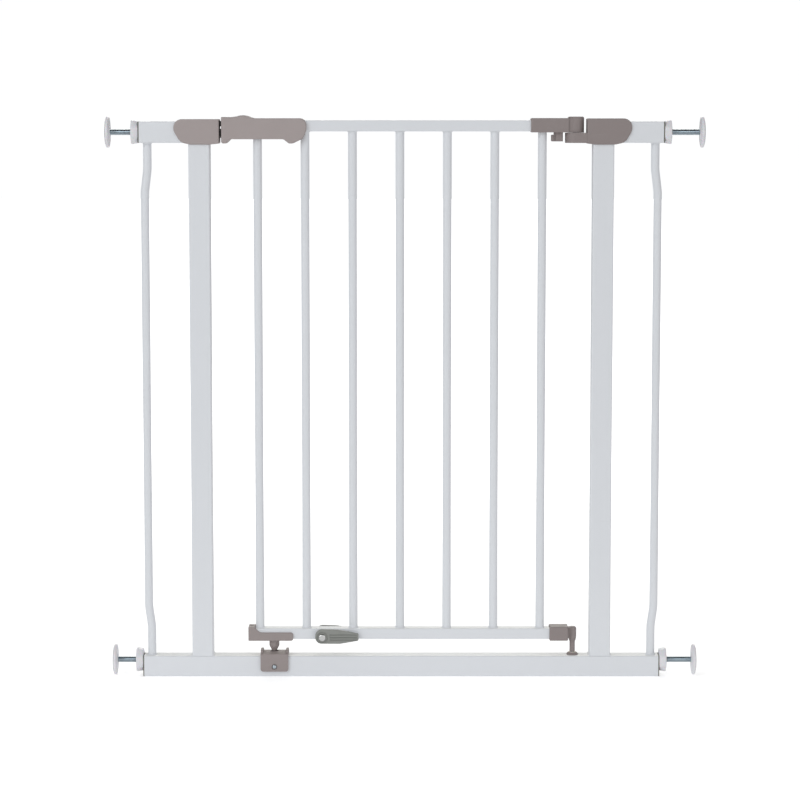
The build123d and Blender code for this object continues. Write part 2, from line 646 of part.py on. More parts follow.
def latch_carriage():
    """Carriage with the two-pronged tongue and the stem under the thumb button."""
    carriage = block(
        CARRIAGE_LEFT_X, CARRIAGE_RIGHT_X, -CARRIAGE_HALF, CARRIAGE_HALF, CARRIAGE_FLOOR, CARRIAGE_TOP
    )
    carriage = chamfer(carriage.edges().filter_by(Axis.Z), 0.8)
    carriage += block(
        STEM_X0, STEM_X1, -TONGUE_HALF, TONGUE_HALF, CARRIAGE_TOP - 4.0, HANDLE_TOP + 1.3
    )
    for z0, z1 in ((CARRIAGE_FLOOR, 730.4), (733.5, 740.6)):
        prong = block(TONGUE_TIP_X, CARRIAGE_LEFT_X + 1, -TONGUE_HALF, TONGUE_HALF, z0, z1)
        carriage += chamfer(prong.edges().filter_by(Axis.Z).group_by(Axis.X)[0], 1.4)
    return carriage - rod_x(CARRIAGE_RIGHT_X - 6, CARRIAGE_RIGHT_X + 1, 0, SPRING_Z, 3.6)


def return_spring():
    """Coil that pushes the tongue out, drawn as the closed sleeve that it fills."""
    x0 = CARRIAGE_RIGHT_X - 5.9
    return rod_x(x0, SPRING_END_X - 0.1, 0, SPRING_Z, 3.4) - rod_x(x0 - 1, SPRING_END_X, 0, SPRING_Z, 2.5)


def thumb_button():
    """Arched button on top of the handle, with grip ridges across it."""
    rise = BUTTON_TOP - HANDLE_TOP - 0.5
    radius = (BUTTON_HALF ** 2 + rise ** 2) / (2 * rise)
    arch = rod_y(BUTTON_X, -8.5, 8.5, BUTTON_TOP - radius, radius)
    box = block(BUTTON_X - BUTTON_HALF, BUTTON_X + BUTTON_HALF, -8.5, 8.5, HANDLE_TOP + 0.9, BUTTON_TOP + 1)
    button = fillet((arch & box).edges().filter_by(GeomType.CIRCLE), 0.6)
    for i in range(-2, 3):
        button -= rod_y(BUTTON_X + 3.2 * i, -7, 7, BUTTON_TOP + 0.45, 0.8)
    stem = block(STEM_X0 - 0.1, STEM_X1 + 0.1, -TONGUE_HALF - 0.1, TONGUE_HALF + 0.1, 740, HANDLE_TOP + 1.4)
    return button - stem


# ---------------------------------------------------------------- stop levers
STOP_INNER_Y = 13.0
STOP_OUTER_Y = 17.0
STOP_HUB_R = 8.0
STOP_RING_R = 6.6
STOP_RING_WIDTH = 0.6
STOP_RIBS_Z = (-3.3, 0.0, 3.6)

# the lever's outline from its pivot: (along, up, corner radius)
STOP_OUTLINE = (
    (-9.2, 11.2, 9.3), (19.0, 10.5, 40.0), (33.0, 8.3, 30.0), (48.6, 5.0, 1.8), (48.6, -4.3, 1.8),
    (24.0, -8.6, 30.0), (-9.2, -8.4, 8.4),
)


def stop_lever(front):
    """Lever that is turned down over the bottom tube to stop the gate swinging that way."""
    face = outline([(STOP_X + along, STOP_Z + up, radius) for along, up, radius in STOP_OUTLINE])
    sign = -1 if front else 1
    y0, y1 = sorted((sign * STOP_INNER_Y, sign * STOP_OUTER_Y))
    lever = round_front(slab(face, y0, y1), sign * STOP_OUTER_Y, 1.0)
    b0, b1 = sorted((sign * (RAIL_DEPTH / 2 + 0.15), sign * STOP_INNER_Y))
    lever += rod_y(STOP_X, b0, b1, STOP_Z, STOP_HUB_R)
    g0, g1 = sorted((sign * (STOP_OUTER_Y - 1.2), sign * (STOP_OUTER_Y + 1)))
    for up in STOP_RIBS_Z:
        half = 0.8 if up == 0 else 0.45
        lever -= block(STOP_X + 10.0, STOP_X + 46.4, g0, g1, STOP_Z + up - half, STOP_Z + up + half)
    ring = rod_y(STOP_X, g0, g1, STOP_Z, STOP_RING_R + STOP_RING_WIDTH)
    lever -= ring - rod_y(STOP_X, g0, g1, STOP_Z, STOP_RING_R)
    return lever - rod_y(STOP_X, -20, 20, STOP_Z, RIVET_R + 0.06)


def lever_rivet():
    """Rivet through the bottom rail that both stop levers turn on."""
    head = 2.0
    rivet = rod_y(STOP_X, -STOP_OUTER_Y - 0.3, STOP_OUTER_Y + 0.3, STOP_Z, RIVET_R)
    for y in (-STOP_OUTER_Y - 0.3 - head, STOP_OUTER_Y + 0.3):
        outer = y if y < 0 else y + head
        rivet += fillet(at_y(rod_y(STOP_X, y, y + head, STOP_Z, RIVET_HEAD_R).edges(), outer), 1.9)
    return rivet


# ---------------------------------------------------------------- wall fixings
def hand_nut(side, z):
    """Eight-sided hand nut that bears on the plug's flange and drives the spindle."""
    inner = TUBE_END_X + PLUG_FLANGE + 0.1
    profile = RegularPolygon(NUT_FLATS / 2, NUT_SIDES, major_radius=False)
    nut = extrude(Plane(origin=(side * inner, 0, z), z_dir=(side, 0, 0)) * profile, amount=NUT_THICKNESS)
    nut = chamfer(nut.edges().group_by(Axis.X)[0] + nut.edges().group_by(Axis.X)[-1], NUT_CHAMFER)
    return nut - rod_x(side * (inner - 1), side * (inner + NUT_THICKNESS + 1), 0, z, THREAD_R + 0.06)


def spindle(side, z, cup_x):
    """Threaded rod from inside the tube out to the wall cup."""
    nut_face = TUBE_END_X + PLUG_FLANGE + 0.1 + NUT_THICKNESS
    inner_x = SPINDLE_INNER_STOP_X + cup_x - nut_face - CUP_NUT_GAP
    rod = rod_x(side * inner_x, side * (cup_x + SPINDLE_END), 0, z, THREAD_R)
    return chamfer(rod.edges().filter_by(GeomType.CIRCLE), 0.8)


def wall_cup(side, z, cup_x):
    """Round cup at the spindle's end, coned towards the tube and recessed for its pad."""
    outer_x = CUP_THICKNESS
    profile = make_face(Polyline(
        (0, 0), (8.5, 0), (9.5, 0.6), (CUP_R - 1.0, 0.9), (CUP_R, 1.7), (CUP_R, outer_x - 0.8),
        (CUP_R - 0.8, outer_x), (PAD_R + 0.1, outer_x), (PAD_R + 0.1, outer_x - PAD_THICKNESS + PAD_PROUD),
        (0, outer_x - PAD_THICKNESS + PAD_PROUD), close=True,
    ))
    cup = revolve(Plane.XZ * profile, Axis.Z)
    cup = Pos(side * cup_x, 0, z) * Rot(0, side * 90, 0) * cup
    return cup - rod_x(side * (cup_x - 1), side * (cup_x + SPINDLE_END), 0, z, THREAD_R + 0.02)


def wall_pad(side, z, cup_x):
    """Rubber pad that presses on the wall."""
    x0 = cup_x + CUP_THICKNESS - PAD_THICKNESS + PAD_PROUD
    return rod_x(side * x0, side * (x0 + PAD_THICKNESS), 0, z, PAD_R)


# ---------------------------------------------------------------- write every node
def save_frame():
    """Write the fixed frame."""
    save("bottom_tube", bottom_tube())
    for side, word in ((-1, "left"), (1, "right")):
        save(word + "_upright", upright(side))
        save(word + "_top_tube", top_tube(side))
        save(word + "_side_bar", side_bar(side))
    save("end_plugs", end_plugs())
    for front, word in ((True, "front"), (False, "rear")):
        save("keeper_" + word + "_shell", keeper_shell(front))
        save("hinge_bracket_" + word + "_shell", hinge_shell(front))
    save("keeper_insert", keeper_insert())
    save("bracket_screws", bracket_screws())
    save("upper_hinge_pin", upper_hinge_pin())
    save("foot_collar", foot_collar())
    save("catch_block", catch_block())
    save("catch_screw", catch_screw())


def save_gate():
    """Write the swinging gate, its hinge bushes, its latch and its stop levers."""
    save("upper_hinge_bush", upper_hinge_bush())
    save("lower_hinge_bush", lower_hinge_bush())
    save("top_rail", top_rail())
    save("bottom_rail", bottom_rail())
    for i, x in enumerate(BAR_XS):
        save("bar_%d" % (i + 1), gate_bar(x))
    save("hinge_sleeve", hinge_sleeve())
    save("gate_screws", gate_screws())
    save("lower_hinge_elbow", lower_hinge_elbow())
    save("lower_hinge_pin", lower_hinge_pin())
    save("corner_bracket", corner_bracket())
    save("drop_peg", drop_peg())
    for front, word in ((True, "front"), (False, "rear")):
        save("handle_" + word + "_shell", handle_shell(front))
        save(word + "_stop_lever", stop_lever(front))
    save("latch_guide", latch_guide())
    save("latch_carriage", latch_carriage())
    save("return_spring", return_spring())
    save("thumb_button", thumb_button())
    save("lever_rivet", lever_rivet())


def save_wall_fixings():
    """Write the four sets of nut, spindle, cup and pad."""
    for place, (side, z, cup_x) in WALL_FIXINGS.items():
        save(place + "_nut", hand_nut(side, z))
        save(place + "_spindle", spindle(side, z, cup_x))
        save(place + "_cup", wall_cup(side, z, cup_x))
        save(place + "_pad", wall_pad(side, z, cup_x))


save_frame()
save_gate()
save_wall_fixings()
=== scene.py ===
import json
import logging
import math
from dataclasses import dataclass, field
from enum import Enum
from typing import Iterable, Sequence

import bmesh
import bpy
from mathutils import Matrix, Vector, noise


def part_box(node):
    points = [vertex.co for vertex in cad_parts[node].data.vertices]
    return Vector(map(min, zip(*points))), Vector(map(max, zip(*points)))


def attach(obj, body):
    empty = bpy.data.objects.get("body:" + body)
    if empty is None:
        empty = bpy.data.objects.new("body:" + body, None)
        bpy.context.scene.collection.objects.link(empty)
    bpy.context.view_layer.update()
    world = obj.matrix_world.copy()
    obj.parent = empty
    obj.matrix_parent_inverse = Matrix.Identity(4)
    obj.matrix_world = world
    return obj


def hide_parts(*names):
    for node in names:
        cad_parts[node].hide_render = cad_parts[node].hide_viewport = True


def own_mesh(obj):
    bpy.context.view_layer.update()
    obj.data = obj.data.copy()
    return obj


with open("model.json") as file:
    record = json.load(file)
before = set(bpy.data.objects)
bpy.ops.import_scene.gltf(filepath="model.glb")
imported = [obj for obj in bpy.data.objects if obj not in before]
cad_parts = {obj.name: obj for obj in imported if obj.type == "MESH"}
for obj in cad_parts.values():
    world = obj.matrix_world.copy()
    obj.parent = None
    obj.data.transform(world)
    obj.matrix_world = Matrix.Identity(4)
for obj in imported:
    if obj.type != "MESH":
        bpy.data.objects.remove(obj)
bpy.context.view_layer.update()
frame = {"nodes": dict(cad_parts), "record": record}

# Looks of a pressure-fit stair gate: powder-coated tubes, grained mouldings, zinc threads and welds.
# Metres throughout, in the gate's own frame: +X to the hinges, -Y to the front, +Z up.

MM = 0.001
SNAP = 1e-6  # how close two points are to be one
X_AXIS = Vector((1.0, 0.0, 0.0))
Z_AXIS = Vector((0.0, 0.0, 1.0))
Rgb = tuple[float, float, float]
Span = tuple[float, float, float, float]
LOG = logging.getLogger("stair_gate")


class Body(Enum):
    """Moving bodies that new pieces ride on."""

    FRAME = "frame"
    GATE = "gate"


class WallFixing(Enum):
    """The four places where the gate is wound against the wall, and the side each points to."""

    TOP_LEFT = ("top_left", -1)
    TOP_RIGHT = ("top_right", 1)
    BOTTOM_LEFT = ("bottom_left", -1)
    BOTTOM_RIGHT = ("bottom_right", 1)

    @property
    def place(self) -> str:
        """First words of the names of this fixing's nodes."""
        return self.value[0]

    @property
    def side(self) -> int:
        """-1 towards the left wall, +1 towards the right wall."""
        return self.value[1]


# ------------------------------------------------------------------ shader tools
class Weave:
    """Adds nodes to one node tree and wires them up."""

    def __init__(self, tree: bpy.types.NodeTree) -> None:
        """Keep the tree.

        Args:
            tree: The material's or group's node tree.
        """
        self.tree = tree

    def node(
        self, kind: str, settings: dict | None = None, values: dict | None = None,
    ) -> bpy.types.Node:
        """Add one node.

        Args:
            kind: The node's type name.
            settings: Attributes to set on the node.
            values: Input socket names or numbers, with a value or another node's output socket.

        Returns:
            The new node.
        """
        node = self.tree.nodes.new(kind)
        for key, setting in (settings or {}).items():
            setattr(node, key, setting)
        for key, value in (values or {}).items():
            if isinstance(value, bpy.types.NodeSocket):
                self.tree.links.new(value, node.inputs[key])
            else:
                node.inputs[key].default_value = value
        return node

    def math(
        self, operation: str, first: object, second: object = 0.0, clamp: bool = False,
    ) -> bpy.types.NodeSocket:
        """Combine two values.

        Args:
            operation: The Math node's operation.
            first: A value or a socket.
            second: A value or a socket.
            clamp: Whether the result stays between 0 and 1.

        Returns:
            The result's socket.
        """
        settings = {"operation": operation, "use_clamp": clamp}
        return self.node("ShaderNodeMath", settings, {0: first, 1: second}).outputs[0]

    def span(
        self, value: object, low: float, high: float, out_low: float, out_high: float,
    ) -> bpy.types.NodeSocket:
        """Map a value from one range to another, clamped.

        Args:
            value: The value or socket to map.
            low: Bottom of its range.
            high: Top of its range.
            out_low: What low becomes.
            out_high: What high becomes.

        Returns:
            The result's socket.
        """
        values = {"Value": value, "From Min": low, "From Max": high, "To Min": out_low, "To Max": out_high}
        return self.node("ShaderNodeMapRange", {"clamp": True}, values).outputs["Result"]


def new_group(
    name: str, inputs: Sequence[tuple[str, str, object]], outputs: Sequence[tuple[str, str]],
) -> tuple[bpy.types.NodeTree, Weave, bpy.types.Node, bpy.types.Node]:
    """Start a shader node group.

    Args:
        name: The group's name.
        inputs: Name, socket type and default of each input.
        outputs: Name and socket type of each output.

    Returns:
        The group, its weave, its input node and its output node.
    """
    group = bpy.data.node_groups.new(name, "ShaderNodeTree")
    for label, kind, default in inputs:
        socket = group.interface.new_socket(name=label, in_out="INPUT", socket_type=kind)
        socket.default_value = default
    for label, kind in outputs:
        group.interface.new_socket(name=label, in_out="OUTPUT", socket_type=kind)
    weave = Weave(group)
    return group, weave, weave.node("NodeGroupInput"), weave.node("NodeGroupOutput")


FLOAT = "NodeSocketFloat"
COLOUR = "NodeSocketColor"
COAT_ROUGHNESS = 0.25
SUBSURFACE_DEPTH = 1.5 * MM
GRAIN_STRENGTH = 0.6
MARK_POLISH = 0.12


@dataclass
class Effects:
    """Shader groups that several finishes share, each built once."""

    grain: bpy.types.NodeTree = field(init=False)
    drift: bpy.types.NodeTree = field(init=False)
    scuffs: bpy.types.NodeTree = field(init=False)
    dust_and_top_light: bpy.types.NodeTree = field(init=False)

    def __post_init__(self) -> None:
        """Build the groups."""
        self.grain = self.build_grain()
        self.drift = self.build_drift()
        self.scuffs = self.build_scuffs()
        self.dust_and_top_light = self.build_dust_and_top_light()

    def build_grain(self) -> bpy.types.NodeTree:
        """Fine surface grain with a slower swell under it.

        Returns:
            The group, which puts out a height and a slow cloud.
        """
        group, weave, source, sink = new_group(
            "surface_grain",
            [("Scale", FLOAT, 900.0), ("Swell", FLOAT, 0.3)],
            [("Height", FLOAT), ("Cloud", FLOAT)],
        )
        place = weave.node("ShaderNodeTexCoord").outputs["Object"]
        fine = weave.node("ShaderNodeTexNoise", None, {
            "Vector": place, "Scale": source.outputs["Scale"], "Detail": 3.0, "Roughness": 0.6,
        }).outputs["Fac"]
        slow_scale = weave.math("MULTIPLY", source.outputs["Scale"], 0.05)
        slow = weave.node("ShaderNodeTexNoise", None, {
            "Vector": place, "Scale": slow_scale, "Detail": 2.0, "Roughness": 0.5,
        }).outputs["Fac"]
        swell = weave.math("MULTIPLY", slow, source.outputs["Swell"])
        weave.tree.links.new(weave.math("ADD", fine, swell), sink.inputs["Height"])
        weave.tree.links.new(slow, sink.inputs["Cloud"])
        return group

    def build_drift(self) -> bpy.types.NodeTree:
        """Slow drift of a colour's lightness, as between one batch of pigment and the next.

        Returns:
            The group, which puts out the drifted colour.
        """
        group, weave, source, sink = new_group(
            "colour_drift",
            [("Colour", COLOUR, (0.5, 0.5, 0.5, 1.0)), ("Spread", FLOAT, 0.03), ("Scale", FLOAT, 9.0)],
            [("Colour", COLOUR)],
        )
        place = weave.node("ShaderNodeTexCoord").outputs["Object"]
        cloud = weave.node("ShaderNodeTexNoise", None, {
            "Vector": place, "Scale": source.outputs["Scale"], "Detail": 4.0, "Roughness": 0.55,
        }).outputs["Fac"]
        centred = weave.math("SUBTRACT", cloud, 0.5)
        lift = weave.math("MULTIPLY", centred, source.outputs["Spread"])
        value = weave.math("ADD", weave.math("MULTIPLY", lift, 2.0), 1.0)
        shifted = weave.node("ShaderNodeHueSaturation", None, {
            "Color": source.outputs["Colour"], "Value": value,
        })
        weave.tree.links.new(shifted.outputs["Color"], sink.inputs["Colour"])
        return group

    def build_scuffs(self) -> bpy.types.NodeTree:
        """Short rub marks, thin and broken, where hands and sleeves have passed.

        Returns:
            The group, which puts out a mask of the marks.
        """
        group, weave, source, sink = new_group(
            "rub_marks", [("Scale", FLOAT, 60.0), ("Amount", FLOAT, 0.5)], [("Mask", FLOAT)],
        )
        place = weave.node("ShaderNodeTexCoord").outputs["Object"]
        turned = weave.node("ShaderNodeMapping", None, {
            "Vector": place, "Rotation": (0.3, 0.5, 0.2), "Scale": (0.25, 1.0, 2.6),
        }).outputs["Vector"]
        streaks = weave.node("ShaderNodeTexNoise", None, {
            "Vector": turned, "Scale": source.outputs["Scale"], "Detail": 5.0, "Roughness": 0.7,
        }).outputs["Fac"]
        patches = weave.node("ShaderNodeTexNoise", None, {
            "Vector": place, "Scale": 18.0, "Detail": 1.0,
        }).outputs["Fac"]
        thin = weave.span(streaks, 0.62, 0.72, 0.0, 1.0)
        some = weave.span(patches, 0.5, 0.65, 0.0, 1.0)
        marks = weave.math("MULTIPLY", thin, some)
        mask = weave.math("MULTIPLY", marks, source.outputs["Amount"], True)
        weave.tree.links.new(mask, sink.inputs["Mask"])
        return group

    def build_dust_and_top_light(self) -> bpy.types.NodeTree:
        """Faint film of dust on faces that look up, with painted top light: it makes them lighter and
        warmer, as light from above does.

        Returns:
            The group, which puts out a mask of the dust and the painted top light.
        """
        group, weave, source, sink = new_group(
            "settled_film_and_top_light", [("Amount", FLOAT, 0.2)], [("Mask", FLOAT)],
        )
        normal = weave.node("ShaderNodeNewGeometry").outputs["Normal"]
        up = weave.node("ShaderNodeSeparateXYZ", None, {0: normal}).outputs["Z"]
        # Painted top light with dust: the more a face looks up, the more of the lighter, warmer film colour
        # it gets.
        facing = weave.span(up, 0.6, 1.0, 0.0, 1.0)
        place = weave.node("ShaderNodeTexCoord").outputs["Object"]
        patchy = weave.node("ShaderNodeTexNoise", None, {
            "Vector": place, "Scale": 45.0, "Detail": 3.0,
        }).outputs["Fac"]
        film_and_top_light = weave.math("MULTIPLY", facing, weave.span(patchy, 0.3, 0.7, 0.6, 1.0))
        mask = weave.math("MULTIPLY", film_and_top_light, source.outputs["Amount"], True)
        weave.tree.links.new(mask, sink.inputs["Mask"])
        return group


@dataclass(frozen=True)
class Finish:
    """One surface finish: what it is made of and how its grain, tint and marks look."""

    name: str
    colour: Rgb
    roughness: tuple[float, float]
    metallic: float = 0.0
    specular: float = 0.5
    coat: float = 0.0
    grain_scale: float = 900.0
    grain_depth: float = 0.02
    swell: float = 0.3
    drift: float = 0.03
    drift_scale: float = 9.0
    mark_colour: Rgb = (0.8, 0.8, 0.8)
    marks: float = 0.0
    mark_scale: float = 60.0
    # Film colour and amount: faint dust plus painted top light, lighter and warmer on faces that look up.
    film_and_top_light_colour: Rgb = (0.9, 0.88, 0.8)
    film_and_top_light: float = 0.0
    subsurface: float = 0.0

    def build(self, effects: Effects) -> bpy.types.Material:
        """Make the material.

        Args:
            effects: The shared shader groups.

        Returns:
            The finished material.
        """
        material = bpy.data.materials.new(self.name)
        material.use_nodes = True
        material.diffuse_color = (*self.colour, 1.0)
        weave = Weave(material.node_tree)
        shader = material.node_tree.nodes["Principled BSDF"]
        fixed = {
            "Metallic": self.metallic, "Specular IOR Level": self.specular, "Coat Weight": self.coat,
            "Coat Roughness": COAT_ROUGHNESS, "Subsurface Weight": self.subsurface,
            "Subsurface Scale": SUBSURFACE_DEPTH,
        }
        for key, value in fixed.items():
            shader.inputs[key].default_value = value
        join = material.node_tree.links.new
        grain = weave.node("ShaderNodeGroup", {"node_tree": effects.grain}, {
            "Scale": self.grain_scale, "Swell": self.swell,
        })
        bump = weave.node("ShaderNodeBump", None, {
            "Strength": GRAIN_STRENGTH, "Distance": self.grain_depth * MM, "Height": grain.outputs["Height"],
        })
        join(bump.outputs["Normal"], shader.inputs["Normal"])
        colour = weave.node("ShaderNodeGroup", {"node_tree": effects.drift}, {
            "Colour": (*self.colour, 1.0), "Spread": self.drift, "Scale": self.drift_scale,
        }).outputs["Colour"]
        low, high = self.roughness
        rough = weave.span(grain.outputs["Cloud"], 0.3, 0.7, low, high)
        if self.marks > 0.0:
            mask = weave.node("ShaderNodeGroup", {"node_tree": effects.scuffs}, {
                "Scale": self.mark_scale, "Amount": self.marks,
            }).outputs["Mask"]
            colour = self.mixed(weave, colour, self.mark_colour, mask)
            rough = weave.math("SUBTRACT", rough, weave.math("MULTIPLY", mask, MARK_POLISH), True)
        # Dust with painted top light: faces that look up get a lighter, warmer colour.
        if self.film_and_top_light > 0.0:
            mask = weave.node("ShaderNodeGroup", {"node_tree": effects.dust_and_top_light}, {
                "Amount": self.film_and_top_light,
            }).outputs["Mask"]
            colour = self.mixed(weave, colour, self.film_and_top_light_colour, mask)
        join(colour, shader.inputs["Base Color"])
        join(rough, shader.inputs["Roughness"])
        return material

    def mixed(
        self, weave: Weave, base: bpy.types.NodeSocket, over: Rgb, mask: bpy.types.NodeSocket,
    ) -> bpy.types.NodeSocket:
        """Lay a colour over another by a mask.

        Args:
            weave: The material's weave.
            base: The colour underneath.
            over: The colour on top.
            mask: How much of it shows.

        Returns:
            The mixed colour's socket.
        """
        mix = weave.node("ShaderNodeMix", {"data_type": "RGBA"})
        weave.tree.links.new(mask, mix.inputs[0])
        weave.tree.links.new(base, mix.inputs[6])
        mix.inputs[7].default_value = (*over, 1.0)
        return mix.outputs[2]


# The film settings below lay dust and painted top light on faces that look up.
POWDER_WHITE = Finish(
    "white_powder_coat", (0.795, 0.815, 0.848), (0.34, 0.44), coat=0.12, grain_scale=1100.0,
    grain_depth=0.016, swell=0.8, drift=0.012, film_and_top_light_colour=(0.85, 0.84, 0.79), film_and_top_light=0.5, marks=0.25,
    mark_colour=(0.70, 0.71, 0.73),
)
LATCH_GREY = Finish(
    "latch_warm_grey", (0.405, 0.352, 0.344), (0.50, 0.62), grain_scale=1500.0, grain_depth=0.03,
    drift=0.03, drift_scale=30.0, marks=0.35, mark_colour=(0.47, 0.42, 0.41), film_and_top_light=0.25,
    film_and_top_light_colour=(0.55, 0.51, 0.46),
)
FOOT_GREY = Finish(
    "foot_warm_grey", (0.330, 0.284, 0.277), (0.50, 0.62), grain_scale=1500.0, grain_depth=0.03,
    drift=0.03, drift_scale=30.0, marks=0.35, mark_colour=(0.41, 0.36, 0.35), film_and_top_light=0.25,
    film_and_top_light_colour=(0.50, 0.46, 0.41),
)
HINGE_GREY = Finish(
    "hinge_warm_grey", (0.285, 0.242, 0.236), (0.48, 0.60), grain_scale=1500.0, grain_depth=0.03,
    drift=0.03, drift_scale=30.0, marks=0.35, mark_colour=(0.35, 0.31, 0.30), film_and_top_light=0.25,
    film_and_top_light_colour=(0.46, 0.43, 0.38),
)
LEVER_GREY = Finish(
    "lever_grey", (0.27, 0.277, 0.258), (0.42, 0.55), grain_scale=1500.0, grain_depth=0.03, drift=0.04,
    drift_scale=30.0, marks=0.4, mark_colour=(0.36, 0.37, 0.35),
)
# End plug grey, darkened to match the plug's shaded flange: painted shade over the plastic's own colour.
PLUG_GREY_PAINTED_SHADE = Finish(
    "plug_grey_painted_shade", (0.165, 0.165, 0.14), (0.5, 0.62), grain_scale=1300.0, grain_depth=0.03, drift=0.05,
    drift_scale=30.0,
)
LATCH_BLACK = Finish(
    "hard_dark_moulding", (0.028, 0.026, 0.025), (0.35, 0.5), grain_scale=1600.0, grain_depth=0.02,
    marks=0.5, mark_colour=(0.08, 0.078, 0.075),
)
WHITE_MOULDING = Finish(
    "white_moulding", (0.81, 0.80, 0.835), (0.32, 0.42), grain_scale=1400.0, grain_depth=0.015,
    drift=0.015, drift_scale=30.0, marks=0.3, mark_colour=(0.70, 0.71, 0.72), subsurface=0.08,
)
ZINC = Finish(
    "bright_zinc", (0.48, 0.54, 0.58), (0.07, 0.15), metallic=1.0, grain_scale=700.0, grain_depth=0.02,
    drift=0.10, drift_scale=60.0, marks=0.5, mark_colour=(0.36, 0.42, 0.46),
)
CHROME = Finish(
    "bright_rivet", (0.60, 0.60, 0.59), (0.08, 0.16), metallic=1.0, grain_scale=500.0, grain_depth=0.01,
    drift=0.05, drift_scale=60.0, marks=0.3, mark_colour=(0.5, 0.5, 0.5),
)
PAD_RUBBER = Finish(
    "pad_rubber", (0.06, 0.06, 0.06), (0.72, 0.85), specular=0.3, grain_scale=1200.0, grain_depth=0.05,
    drift=0.08, drift_scale=40.0,
)
NYLON = Finish(
    "natural_nylon", (0.74, 0.72, 0.64), (0.35, 0.48), grain_scale=900.0, grain_depth=0.015, drift=0.03,
    drift_scale=40.0, subsurface=0.2,
)
SPRING_WIRE = Finish(
    "spring_wire", (0.45, 0.45, 0.44), (0.25, 0.35), metallic=1.0, grain_scale=900.0, grain_depth=0.01,
    drift=0.08, drift_scale=80.0,
)
SLOT_FINISHES = {
    "white_paint": POWDER_WHITE, "taupe_plastic": LATCH_GREY, "hinge_plastic": HINGE_GREY,
    "lever_plastic": LEVER_GREY, "plug_plastic": PLUG_GREY_PAINTED_SHADE, "dark_plastic": LATCH_BLACK,
    "white_plastic": WHITE_MOULDING, "zinc_steel": ZINC, "rivet_chrome": CHROME, "pad_rubber": PAD_RUBBER,
    "bush_nylon": NYLON, "spring_steel": SPRING_WIRE,
}
NODE_FINISHES = {"corner_bracket": FOOT_GREY, "drop_peg": FOOT_GREY, "catch_block": FOOT_GREY}


class Paintbox:
    """Every finish as a material, built when it is first asked for."""

    def __init__(self) -> None:
        """Build the shared effects."""
        self.effects = Effects()
        self.made: dict[str, bpy.types.Material] = {}

    def material(self, finish: Finish) -> bpy.types.Material:
        """Give a finish's material.

        Args:
            finish: The finish to use.

        Returns:
            Its material, the same one every time.
        """
        if finish.name not in self.made:
            self.made[finish.name] = finish.build(self.effects)
        return self.made[finish.name]

    def paint(self, thing: bpy.types.Object, finish: Finish) -> None:
        """Put a finish on the whole of an object.

        Args:
            thing: The object.
            finish: The finish it gets.
        """
        materials = thing.data.materials
        material = self.material(finish)
        if not materials:
            materials.append(material)
        for index in range(len(materials)):
            materials[index] = material


# ------------------------------------------------------------------ mesh tools
def box_of(node: str) -> tuple[Vector, Vector, Vector]:
    """Give a CAD node's box.

    Args:
        node: The node's name.

    Returns:
        Its low corner, its high corner and its middle.
    """
    low, high = (Vector(corner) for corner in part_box(node))
    return low, high, (low + high) / 2


def close_up(bm: bmesh.types.BMesh) -> None:
    """Merge doubled vertices and turn every face outwards.

    Args:
        bm: The mesh in work.
    """
    bmesh.ops.remove_doubles(bm, verts=bm.verts, dist=SNAP)
    bmesh.ops.recalc_face_normals(bm, faces=bm.faces)


def soften(bm: bmesh.types.BMesh, offset: float, segments: int, angle: float = 30.0) -> None:
    """Round every edge that is sharper than an angle.

    Args:
        bm: The mesh in work.
        offset: Width of the rounding.
        segments: Facets in it.
        angle: The angle in degrees.
    """
    limit = math.radians(angle)
    sharp = [edge for edge in bm.edges if edge.is_manifold and edge.calc_face_angle(0.0) > limit]
    bmesh.ops.bevel(
        bm, geom=sharp, offset=offset, offset_type="OFFSET", affect="EDGES", segments=segments,
        profile=0.5, material=-1, clamp_overlap=True,
    )


def lathe(
    profile: Sequence[tuple[float, float]], centre: Vector, axis: Vector, steps: int,
) -> bmesh.types.BMesh:
    """Spin a profile into a closed round shape.

    Args:
        profile: Pairs of distance along the axis and radius, in metres.
        centre: The axis's zero point.
        axis: The axis.
        steps: Facets in a full turn.

    Returns:
        The mesh in work.
    """
    bm = bmesh.new()
    out = axis.orthogonal().normalized()
    verts = [bm.verts.new(centre + axis * along + out * radius) for along, radius in profile]
    edges = [bm.edges.new(pair) for pair in zip(verts, verts[1:])]
    bmesh.ops.spin(
        bm, geom=verts + edges, cent=centre, axis=axis, angle=math.tau, steps=steps,
        use_merge=True, use_duplicate=False,
    )
    close_up(bm)
    return bm


def helix(
    profile: Sequence[tuple[float, float]], closed: bool, start: Vector, axis: Vector, pitch: float,
    turns: int, steps: int,
) -> bmesh.types.BMesh:
    """Spin a profile into a right-handed screw.

    Args:
        profile: Pairs of distance along the axis and radius, in metres.
        closed: Whether the profile's last point joins its first.
        start: The axis's zero point.
        axis: The axis.
        pitch: Advance in one turn.
        turns: Whole turns.
        steps: Facets in a turn.

    Returns:
        The mesh in work, open at its ends.
    """
    bm = bmesh.new()
    out = axis.orthogonal().normalized()
    verts = [bm.verts.new(start + axis * along + out * radius) for along, radius in profile]
    edges = [bm.edges.new(pair) for pair in zip(verts, verts[1:])]
    if closed:
        edges.append(bm.edges.new((verts[-1], verts[0])))
    bmesh.ops.spin(
        bm, geom=verts + edges, cent=start, axis=axis, dvec=axis * (pitch / steps),
        angle=math.tau * turns, steps=steps * turns, use_merge=False, use_duplicate=False,
    )
    return bm


def cut_flat(bm: bmesh.types.BMesh, point: Vector, outward: Vector) -> None:
    """Cut a mesh off square and close the cut.

    Args:
        bm: The mesh in work.
        point: A point on the cut.
        outward: Which way the waste lies.
    """
    geom = bm.verts[:] + bm.edges[:] + bm.faces[:]
    bmesh.ops.bisect_plane(
        bm, geom=geom, dist=SNAP / 10, plane_co=point, plane_no=outward, clear_outer=True,
    )
    rim = [
        edge for edge in bm.edges
        if edge.is_boundary and all(abs((vert.co - point).dot(outward)) < SNAP for vert in edge.verts)
    ]
    bmesh.ops.holes_fill(bm, edges=rim, sides=0)


